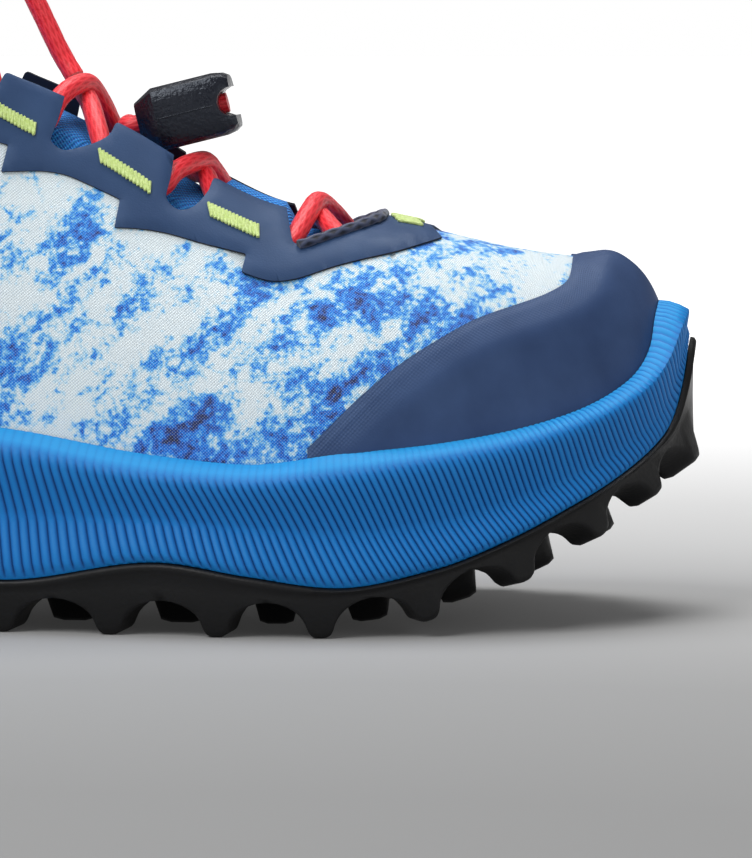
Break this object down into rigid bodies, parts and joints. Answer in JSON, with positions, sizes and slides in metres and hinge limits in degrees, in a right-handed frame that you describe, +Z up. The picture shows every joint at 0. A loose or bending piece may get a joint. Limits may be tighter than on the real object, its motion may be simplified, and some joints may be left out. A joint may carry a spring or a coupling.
{
  "type": "trail running shoe",
  "caption": "Child's low trail running shoe for the right foot: lugged rubber outsole, ribbed foam midsole, hollow mesh upper with toe cap, elastic quick lace and cord lock.",
  "frame": {"origin": "on the floor, at the middle of the shoe's length and width", "axes": "+X towards the toe, +Y towards the medial side (the other foot), +Z up"},
  "size_m": [0.2018, 0.0798, 0.1144],
  "materials": {
    "outsole_rubber": "black, matt, fine mould grain",
    "midsole_foam": "blue moulded foam, ribbed side wall",
    "upper_mesh": "woven mesh with a mottled blue and white print",
    "overlay_film": "navy welded film, fine grain",
    "tongue_knit": "bright blue knit",
    "insole_fabric": "navy sock liner",
    "lace_cord": "red braided elastic cord",
    "lock_plastic": "black, finely grained"
  },
  "bodies": {
    "root": {"outsole": "outsole_rubber", "midsole": "midsole_foam", "upper": "upper_mesh", "toe_cap": "overlay_film", "eyestay": "overlay_film", "tongue": "tongue_knit", "insole": "insole_fabric", "lace_crossing_front": "lace_cord", "lace_crossing_middle": "lace_cord", "lace_crossing_top": "lace_cord", "lace_tail": "lace_cord", "lace_slack": "lace_cord", "cord_lock": "lock_plastic"}
  },
  "joints": []
}
